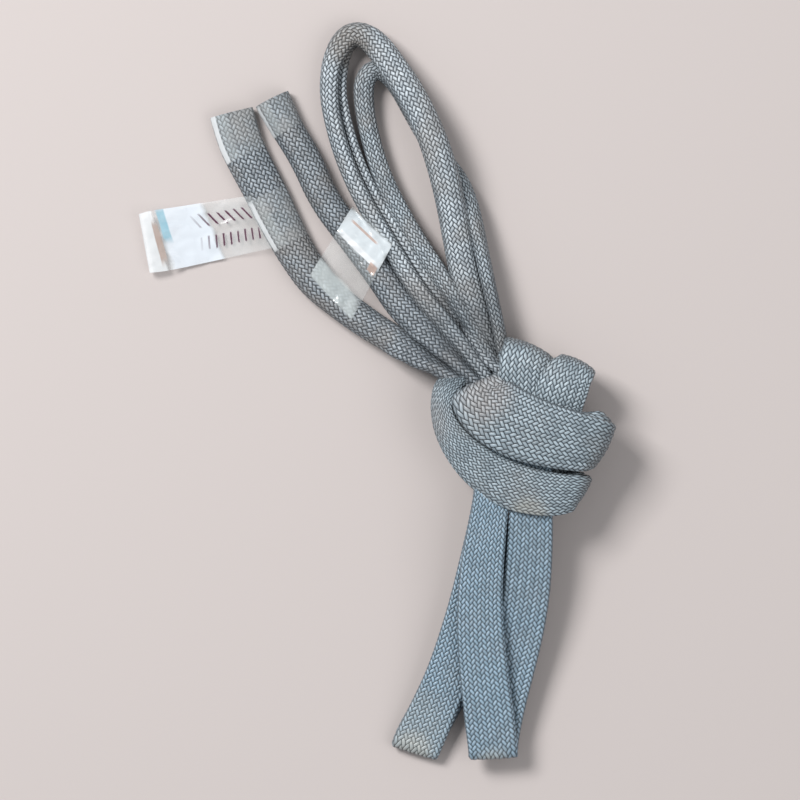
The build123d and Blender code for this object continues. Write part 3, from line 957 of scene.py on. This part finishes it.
def film_stuff(name, cloud, spots, ink=None):
    """Clear tape: nearly invisible, milky where it stands off, with spots of painted white
    reflection where it takes the light.

    cloud is how milky it is all over. A spot is a place across and along the film, its two
    half widths, its strength and its colour.
    """
    stuff = Stuff(name)
    place = stuff.add("ShaderNodeTexCoord", out=3)
    film = stuff.add("ShaderNodeUVMap", {"uv_map": "Film"})
    across = stuff.add("ShaderNodeSeparateXYZ", {}, {0: film}, out=0)
    along = stuff.add("ShaderNodeSeparateXYZ", {}, {0: film}, out=1)
    facets = stuff.add("ShaderNodeTexVoronoi", {}, {"Vector": place, "Scale": 170.0})
    broad = stuff.noise(place, 120.0, 3.0)
    fine = stuff.noise(place, 700.0, 3.0)
    alpha = broad * (2 * cloud)
    colour = stuff.blend(broad, CLEAR, WHITE)
    for at_across, at_along, half_across, half_along, strength, tint in spots:
        one = ((across - at_across) / half_across).maths("ABSOLUTE") + (broad - 0.5) * 0.5
        other = ((along - at_along) / half_along).maths("ABSOLUTE") + (broad - 0.5) * 0.5
        spot = (1 - one.clear_of(0.6, 1.0)) * (1 - other.clear_of(0.7, 1.0)) * strength
        alpha = alpha.maths("MAXIMUM", spot)
        colour = stuff.blend(spot, colour, tint)
    if ink:
        mark = ink(across, along, fine)
        colour = stuff.blend(mark, colour, PEN)
        alpha = alpha.maths("MAXIMUM", mark * 0.9)
    relief = broad * 0.8 + facets * 0.4 + fine * 0.05
    sockets = {"Strength": 0.5, "Distance": BUCKLE_BUMP, "Height": relief}
    bump = stuff.add("ShaderNodeBump", {}, sockets)
    return stuff.finish(
        Base_Color=colour,
        Alpha=alpha.maths("MINIMUM", 1.0),
        Roughness=0.15,
        Specular_IOR_Level=0.8,
        Normal=bump,
    )


def sleeve(name, line, stations, first, last, material, seed):
    """One turn of tape round a stretch of an end, from first to last along its line."""
    run = np.r_[0, np.cumsum(np.linalg.norm(np.diff(line, axis=0), axis=1))]
    inside = (run >= first) & (run <= last)
    places = run / run[-1]
    left, out = tube_frame(line, np.radians(eased(stations, 4, places)))
    places, middle, left, out = (each[inside] for each in (places, line, left, out))
    thick_left = eased(stations, 1, places) / 1000 + 2 * TAPE_PROUD
    thick_right = eased(stations, 2, places) / 1000 + 2 * TAPE_PROUD
    curl = np.radians(eased(stations, 3, places))
    girth = GIRTH + 2 * math.pi * TAPE_PROUD
    flat = (girth - math.pi * (thick_left + thick_right) / 2) / 2
    points, outward = outlines(flat, thick_left, thick_right, curl, ROUND)
    grid = middle[:, None] + left[:, None] * points[..., :1] + out[:, None] * points[..., 1:]
    way = left[:, None] * outward[..., :1] + out[:, None] * outward[..., 1:]
    grid = grid + way * np.abs(creases(grid, *PRESSED_CREASE, seed))[..., None]
    return lay_film(name, grid, material, closed=True)


end_film = film_stuff(
    "end_tape_film",
    0.10,
    [
        # a milky band, and in it a narrow painted white reflection along the tape's left
        (0.60, 0.5, 0.06, 0.60, 0.24, CLEAR),
        (0.685, 0.5, 0.036, 0.60, 0.72, WHITE),
    ],
)
end_film_a = sleeve("end_film_a", line_a, END_A_STATIONS, 0.0, END_TAPE_A, end_film, 3)
end_film_b = sleeve("end_film_b", line_b, END_B_STATIONS, 0.0, END_TAPE_B, end_film, 4)
for tape, node in ((end_film_a, "end_tape_a"), (end_film_b, "end_tape_b")):
    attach(tape, "root")
    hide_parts(node)

# The label tape. One turn goes round end A, and the rest of the strip is stuck to itself as
# a flag, which ends in an open loop; it lies over to the left.
LABEL_FIRST, LABEL_LAST = 0.0310, 0.0505  # where it wraps end A, from the cut
FLAG_STEP = 0.0008  # from one row of the flag's film to the next
FLAG_CREASE = (0.016, 0.00022)
label_turn = sleeve("label_turn", line_a, END_A_STATIONS, LABEL_FIRST, LABEL_LAST, end_film, 5)
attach(label_turn, "root")
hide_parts("label_wrap")
FLAG_UPPER = [
    (-0.0880, 0.0765, 0.0070),
    (-0.0920, 0.0764, 0.0052),
    (-0.1010, 0.0752, 0.0016),
    (-0.1120, 0.0735, 0.0010),
    (-0.1200, 0.0722, 0.0022),
    (-0.1262, 0.0712, 0.0056),
    (-0.1300, 0.0700, 0.0046),
    (-0.1296, 0.0702, 0.0010),
    (-0.1240, 0.0715, 0.0005),
    (-0.1120, 0.0735, 0.0004),
    (-0.1010, 0.0752, 0.0010),
    (-0.0920, 0.0764, 0.0036),
    (-0.0885, 0.0765, 0.0044),
]
FLAG_LOWER = [
    (-0.0790, 0.0592, 0.0070),
    (-0.0835, 0.0582, 0.0048),
    (-0.0930, 0.0562, 0.0014),
    (-0.1040, 0.0538, 0.0009),
    (-0.1130, 0.0518, 0.0012),
    (-0.1205, 0.0502, 0.0034),
    (-0.1262, 0.0496, 0.0040),
    (-0.1258, 0.0498, 0.0010),
    (-0.1190, 0.0506, 0.0005),
    (-0.1040, 0.0538, 0.0004),
    (-0.0930, 0.0562, 0.0008),
    (-0.0835, 0.0582, 0.0034),
    (-0.0795, 0.0592, 0.0044),
]


def pen_marks(across, along, fine):
    """Two rows of slanting ticks of a pen, which say nothing."""
    total = 0.0
    for row, beat, lean in ((0.30, 30.0, 3.0), (0.68, 36.0, -2.4)):
        rank = along * beat + (across - row) * lean
        tick = (rank - rank.maths("FLOOR") - 0.5).maths("ABSOLUTE") + (fine - 0.5) * 0.12
        reach = (across - row).maths("ABSOLUTE") + (fine - 0.5) * 0.06
        total = (1 - tick.clear_of(0.10, 0.16)) * (1 - reach.clear_of(0.09, 0.13)) + total
    return total * along.clear_of(0.05, 0.07) * (1 - along.clear_of(0.22, 0.32))


flag_film = film_stuff(
    "label_film",
    0.17,
    [
        # painted reflections: a broad blue-white sheen, and a white band near the loop
        (0.5, 0.33, 1.0, 0.11, 0.82, (0.86, 0.92, 1.0)),
        (0.5, 0.48, 1.0, 0.05, 0.72, WHITE),
        (0.26, 0.405, 0.32, 0.020, 0.85, (0.25, 0.55, 0.68)),
        (0.52, 0.440, 0.42, 0.014, 0.75, (0.38, 0.21, 0.13)),
    ],
    ink=pen_marks,
)
upper_edge, lower_edge = spaced([smooth_line(FLAG_UPPER), smooth_line(FLAG_LOWER)], FLAG_STEP)
share = np.linspace(0, 1, 29)[None, :, None]
flag_grid = upper_edge[:, None] * (1 - share) + lower_edge[:, None] * share
flag_grid[..., 2] += np.abs(creases(flag_grid, *FLAG_CREASE, 8))
label_strip = lay_film("label_strip", flag_grid, flag_film)
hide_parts("label_flag")
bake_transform(label_strip)

# The band tape: one turn of the same tape round both ends, pulled tight over each of them
# and hanging free between them, with its last corners stuck down over end B.
BAND_NEAR = [(-0.0550, 0.0728), (-0.0702, 0.0482)]
BAND_FAR = [(-0.0408, 0.0598), (-0.0556, 0.0326)]
BAND_STEP = 0.0006  # from one column of the band's film to the next
BAND_CREASE = (0.014, 0.00028)
BAND_MARGIN = 0.002  # the film lies on yarn up to this far beyond its own edges
YARN_NEAR = 0.0012  # yarn this close to a point of the film holds it up
OVER_YARN = 0.0004
LOW_YARN = 0.003  # yarn below this doesn't hold the film up
UPPER_SIDE = 0.004  # above this height the film lies over the ends, not under them
BAND_ROUND = [  # across the band from end B to end A, and its height
    (0.00, 0.0046),
    (0.03, 0.0082),
    (0.14, 0.0098),
    (0.30, 0.0100),
    (0.42, 0.0086),
    (0.52, 0.0068),
    (0.62, 0.0072),
    (0.72, 0.0092),
    (0.86, 0.0094),
    (0.97, 0.0076),
    (1.00, 0.0042),
    (0.97, 0.0010),
    (0.80, 0.0004),
    (0.50, 0.0004),
    (0.20, 0.0004),
    (0.03, 0.0010),
    (0.00, 0.0046),
]
band_film = film_stuff(
    "band_tape_film",
    0.13,
    [
        (0.28, 0.5, 0.10, 0.62, 0.20, (0.62, 0.60, 0.56)),
        (0.43, 0.5, 0.075, 0.62, 0.50, CLEAR),
        (0.12, 0.5, 0.10, 0.62, 0.84, (0.80, 0.86, 0.90)),
        # a narrow painted white reflection
        (0.185, 0.5, 0.020, 0.50, 0.90, WHITE),
        (0.10, 0.45, 0.008, 0.35, 0.80, (0.62, 0.42, 0.34)),
        (0.21, 0.88, 0.03, 0.10, 0.70, (0.55, 0.30, 0.20)),
    ],
)


def band_edge(start, end):
    """The route of one edge of the band, over both ends and back under them."""
    start, end = np.array(start), np.array(end)
    return smooth_line([(*(start * (1 - way) + end * way), high) for way, high in BAND_ROUND])


near_round, far_round = spaced([band_edge(*BAND_NEAR), band_edge(*BAND_FAR)], BAND_STEP)
band_share = np.linspace(0, 1, 33)[:, None, None]
band_grid = near_round[None] * (1 - band_share) + far_round[None] * band_share
yarn = np.array(
    [
        corner.co[:]
        for piece in (loose_end_a, loose_end_b, outer_loop)
        for corner in piece.data.vertices
    ]
)
beneath = (yarn[:, :2] > band_grid[..., :2].min((0, 1)) - BAND_MARGIN).all(1)
beneath &= (yarn[:, :2] < band_grid[..., :2].max((0, 1)) + BAND_MARGIN).all(1)
yarn = yarn[beneath & (yarn[:, 2] > LOW_YARN)]
crinkle = np.abs(creases(band_grid, *BAND_CREASE, 9))
for row, buckle in zip(band_grid, crinkle):
    near_it = np.hypot(row[:, None, 0] - yarn[:, 0], row[:, None, 1] - yarn[:, 1]) < YARN_NEAR
    crest = np.where(near_it, yarn[:, 2], 0).max(1) + OVER_YARN
    on_top = row[:, 2] > UPPER_SIDE
    row[:, 2] = np.where(on_top, np.maximum(row[:, 2], crest) + buckle, row[:, 2])
ends_band = lay_film("ends_band", band_grid, band_film)
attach(ends_band, "root")
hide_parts("band_tape")

# The floor, the soft studio lamps and the camera, which looks straight down.
VIEW_CENTRE = (-0.0385, 0.00525)
VIEW_WIDTH = 0.280
LENS, SENSOR = 200.0, 36.0
FLOOR_REACH = 3.0
STUDIO_LIGHT, STUDIO_STRENGTH = (0.92, 0.96, 1.0, 1.0), 0.33
floor_stuff = Stuff("floor")
floor_material = floor_stuff.finish(Base_Color=(0.60, 0.54, 0.52), Roughness=0.8)
floor_mesh = bpy.data.meshes.new("floor")
floor_corners = [
    (FLOOR_REACH * x, FLOOR_REACH * y, 0) for x, y in ((-1, -1), (1, -1), (1, 1), (-1, 1))
]
floor_mesh.from_pydata(floor_corners, [], [(0, 1, 2, 3)])
floor_mesh.materials.append(floor_material)
floor = bpy.data.objects.new("floor", floor_mesh)
bpy.context.scene.collection.objects.link(floor)


def hang_lamp(name, place, size, power):
    lamp = bpy.data.lights.new(name, "AREA")
    lamp.size, lamp.energy = size, power
    holder = bpy.data.objects.new(name, lamp)
    holder.location = place
    aim = np.array([VIEW_CENTRE[0], VIEW_CENTRE[1], 0.0]) - np.array(place)
    pitch = math.atan2(math.hypot(aim[0], aim[1]), -aim[2])
    holder.rotation_euler = (pitch, 0.0, math.atan2(-aim[0], aim[1]))
    bpy.context.scene.collection.objects.link(holder)


hang_lamp("key_lamp", (-0.85, 0.70, 1.25), 0.60, 25.0)
hang_lamp("fill_lamp", (0.90, -0.30, 1.30), 1.20, 6.0)
world = bpy.data.worlds.new("studio")
world.use_nodes = True
world.node_tree.nodes["Background"].inputs[0].default_value = STUDIO_LIGHT
world.node_tree.nodes["Background"].inputs[1].default_value = STUDIO_STRENGTH
bpy.context.scene.world = world

camera = bpy.data.cameras.new("camera")
camera.lens = LENS
camera.sensor_width = SENSOR
camera_holder = bpy.data.objects.new("camera", camera)
camera_holder.location = (*VIEW_CENTRE, VIEW_WIDTH * LENS / SENSOR)
bpy.context.scene.collection.objects.link(camera_holder)
bpy.context.scene.camera = camera_holder
bpy.context.scene.view_settings.view_transform = "Standard"
